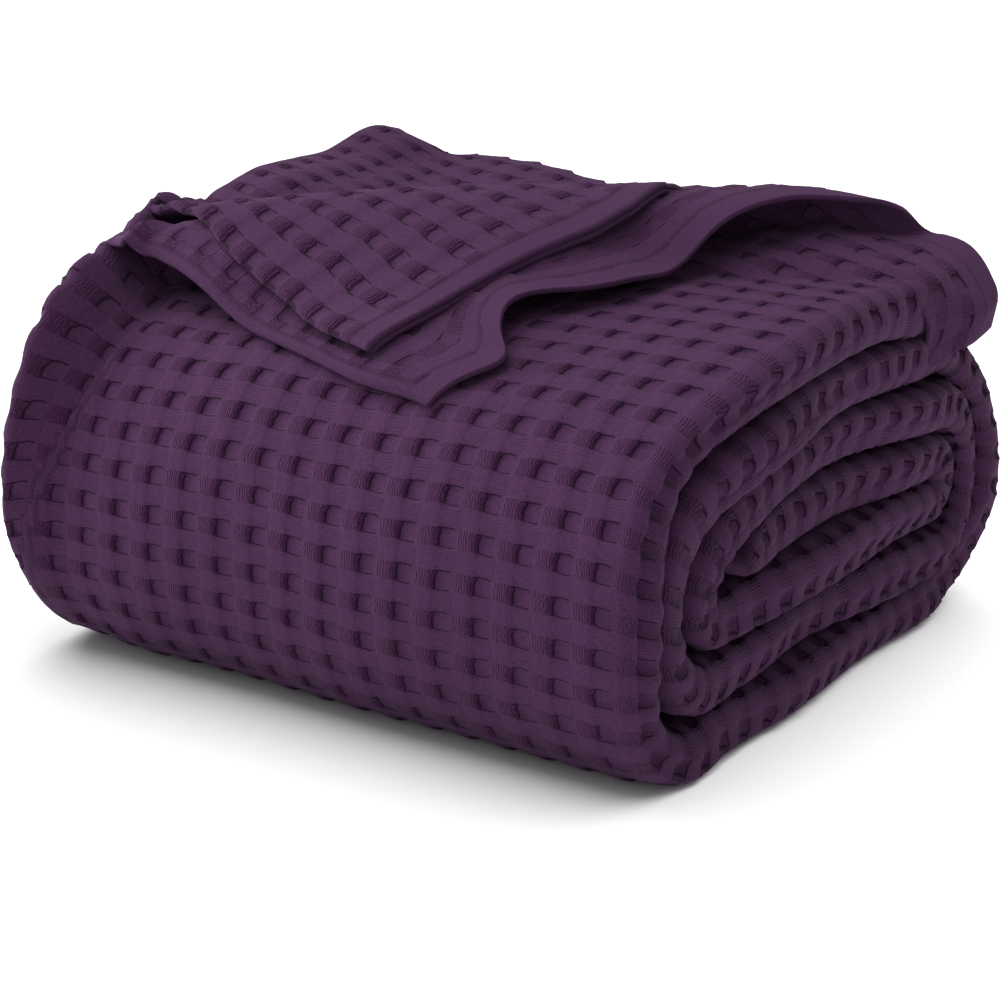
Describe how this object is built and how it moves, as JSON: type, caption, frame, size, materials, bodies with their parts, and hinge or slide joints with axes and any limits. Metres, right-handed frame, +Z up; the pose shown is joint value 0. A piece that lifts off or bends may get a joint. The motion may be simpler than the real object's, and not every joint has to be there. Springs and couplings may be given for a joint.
{
  "type": "waffle weave cotton blanket, folded and rolled",
  "caption": "Cotton waffle weave blanket folded lengthwise into a thick strip and wound into a soft flattened roll, its loose corner turned back over the top.",
  "frame": {"origin": "middle of the blanket's outline seen from above, on the surface it rests on", "axes": "+X along the roll to the end where the coils show, -Y to the rounded front, +Z up"},
  "size_m": [0.3092, 0.3085, 0.1848],
  "materials": {
    "waffle_cotton": "matt dusty purple cotton in a waffle weave of raised ribbed floats and sunk plain squares, with plain woven hems"
  },
  "bodies": {
    "root": {"wound_roll": "waffle_cotton", "turned_back_ply": "waffle_cotton", "doubled_top_ply": "waffle_cotton"}
  },
  "joints": []
}
